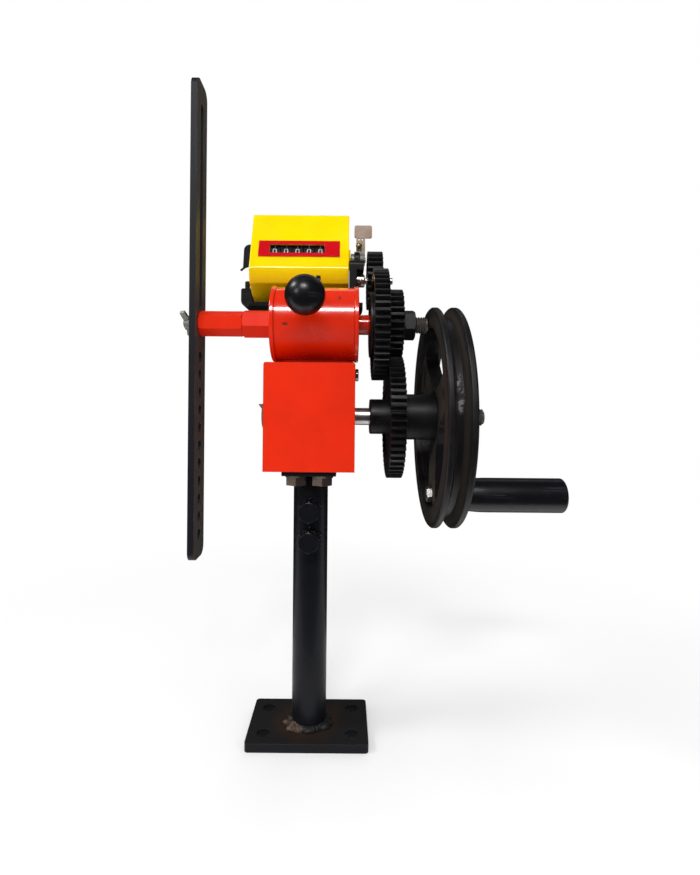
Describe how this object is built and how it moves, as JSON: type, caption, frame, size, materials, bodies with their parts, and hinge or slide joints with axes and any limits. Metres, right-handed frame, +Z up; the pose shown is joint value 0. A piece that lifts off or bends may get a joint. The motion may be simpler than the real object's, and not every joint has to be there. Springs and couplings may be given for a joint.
{
  "type": "coil winding machine",
  "caption": "Hand cranked coil winder: post on a base plate, red head with open gears, slotted former arm on the spindle, turns counter, grooved handwheel and brake lever.",
  "frame": {"origin": "centre of the base plate's underside, between its four bolt holes", "axes": "+X along the shafts towards the handwheel's grip, +Y towards the turns counter, away from the ball knob, +Z up the post"},
  "size_m": [0.2707, 0.1543, 0.454],
  "materials": {
    "black_paint": "satin, worn at edges",
    "weld_metal": "rough weld bead, thinly painted",
    "bright_steel": "ground",
    "zinc_steel": "dull zinc plate",
    "red_paint": "satin orange-red",
    "red_gloss_paint": "gloss orange-red",
    "yellow_paint": "gloss yellow",
    "red_plate": "gloss",
    "black_plastic": "moulded",
    "clear_window": "clear",
    "nickel_plate": "bright plate",
    "black_gear_steel": "blackened steel, oiled",
    "black_cast_iron": "painted casting",
    "gloss_black_plastic": "gloss",
    "lever_steel": "dull plated sheet",
    "digit_plastic": "black with white digits"
  },
  "bodies": {
    "stand": {"base_plate": "black_paint", "post_tube": "black_paint", "post_weld": "weld_metal", "clamp_nuts": "black_paint", "clamp_bolts": "black_paint"},
    "head": {"head_stem": "bright_steel", "head_flange": "black_paint", "flange_bolts": "zinc_steel", "flange_washers": "zinc_steel", "flange_nuts": "zinc_steel", "head_box": "red_paint", "box_back_cover": "red_paint", "head_screws": "zinc_steel", "bearing_outer_rings": "bright_steel", "housing_saddle": "red_paint", "spindle_housing": "red_gloss_paint", "housing_caps": "red_gloss_paint", "brake_lug": "black_paint", "brake_pivot_pin": "bright_steel", "counter_bracket": "black_paint", "counter_base": "black_plastic", "counter_case": "black_plastic", "counter_cover": "yellow_paint", "counter_bezel": "red_plate", "counter_window": "clear_window", "counter_bushes": "nickel_plate", "counter_side_clip": "black_paint", "number_axle": "bright_steel"},
    "crank": {"input_shaft": "bright_steel", "input_inner_rings": "bright_steel", "input_gear": "black_gear_steel", "gear_set_screw": "black_gear_steel", "crank_nuts": "zinc_steel", "shaft_washers": "zinc_steel", "handwheel": "black_cast_iron", "handle_bolt": "zinc_steel"},
    "grip": {"handle_grip": "gloss_black_plastic"},
    "spindle": {"spindle_shaft": "black_gear_steel", "spindle_inner_rings": "bright_steel", "hex_sleeve_large": "red_paint", "hex_sleeve_small": "red_paint", "former_arm": "black_paint", "wing_nut": "zinc_steel", "spindle_collar": "red_gloss_paint", "gear_flange": "black_gear_steel", "spindle_gear_large": "black_gear_steel", "spindle_gear_small": "black_gear_steel", "spindle_washers": "zinc_steel", "spindle_nut": "black_gear_steel"},
    "counter_drive": {"counter_shaft": "bright_steel", "counter_gear": "black_gear_steel"},
    "reset": {"reset_lever": "lever_steel"},
    "brake": {"brake_rod": "black_paint", "ball_knob": "gloss_black_plastic"},
    "digit_1": {"number_wheel_1": "digit_plastic"},
    "digit_2": {"number_wheel_2": "digit_plastic"},
    "digit_3": {"number_wheel_3": "digit_plastic"},
    "digit_4": {"number_wheel_4": "digit_plastic"},
    "digit_5": {"number_wheel_5": "digit_plastic"}
  },
  "joints": [
    {"name": "head_height", "type": "slide", "parent": "stand", "child": "head", "axis": [0, 0, 1], "range_m": [0, 0.06]},
    {"name": "crank_turn", "type": "hinge", "parent": "head", "child": "crank", "pos_m": [0.09, 0, 0.2205], "axis": [1, 0, 0], "continuous": true},
    {"name": "grip_turn", "type": "hinge", "parent": "crank", "child": "grip", "pos_m": [0.14, 0.00585, 0.16481], "axis": [1, 0, 0], "continuous": true},
    {"name": "spindle_turn", "type": "hinge", "parent": "head", "child": "spindle", "pos_m": [0, 0, 0.285], "axis": [1, 0, 0], "continuous": true},
    {"name": "counter_drive_turn", "type": "hinge", "parent": "head", "child": "counter_drive", "pos_m": [0.047, 0.04208, 0.32564], "axis": [1, 0, 0], "continuous": true},
    {"name": "reset_pull", "type": "hinge", "parent": "head", "child": "reset", "pos_m": [0.0365, 0.05374, 0.34512], "axis": [1, 0, 0], "range_deg": [0, 60], "stiffness_Nm_per_rad": 0.02, "springref_deg": -11.46},
    {"name": "brake_lift", "type": "hinge", "parent": "head", "child": "brake", "pos_m": [-0.001, -0.007, 0.3135], "axis": [-1, 0, 0], "range_deg": [0, 35]},
    {"name": "digit_1_turn", "type": "hinge", "parent": "head", "child": "digit_1", "pos_m": [0.003, 0.05374, 0.34512], "axis": [1, 0, 0], "continuous": true},
    {"name": "digit_2_turn", "type": "hinge", "parent": "head", "child": "digit_2", "pos_m": [-0.006, 0.05374, 0.34512], "axis": [1, 0, 0], "continuous": true},
    {"name": "digit_3_turn", "type": "hinge", "parent": "head", "child": "digit_3", "pos_m": [-0.015, 0.05374, 0.34512], "axis": [1, 0, 0], "continuous": true},
    {"name": "digit_4_turn", "type": "hinge", "parent": "head", "child": "digit_4", "pos_m": [-0.024, 0.05374, 0.34512], "axis": [1, 0, 0], "continuous": true},
    {"name": "digit_5_turn", "type": "hinge", "parent": "head", "child": "digit_5", "pos_m": [-0.033, 0.05374, 0.34512], "axis": [1, 0, 0], "continuous": true}
  ],
  "couplings": [
    {"joint": "spindle_turn", "follows": "crank_turn", "ratio": -1.7742},
    {"joint": "counter_drive_turn", "follows": "crank_turn", "ratio": 3.1682},
    {"joint": "digit_1_turn", "follows": "crank_turn", "ratio": 0.31682},
    {"joint": "digit_2_turn", "follows": "crank_turn", "ratio": 0.031682},
    {"joint": "digit_3_turn", "follows": "crank_turn", "ratio": 0.0031682},
    {"joint": "digit_4_turn", "follows": "crank_turn", "ratio": 0.00031682},
    {"joint": "digit_5_turn", "follows": "crank_turn", "ratio": 0.000031682}
  ]
}
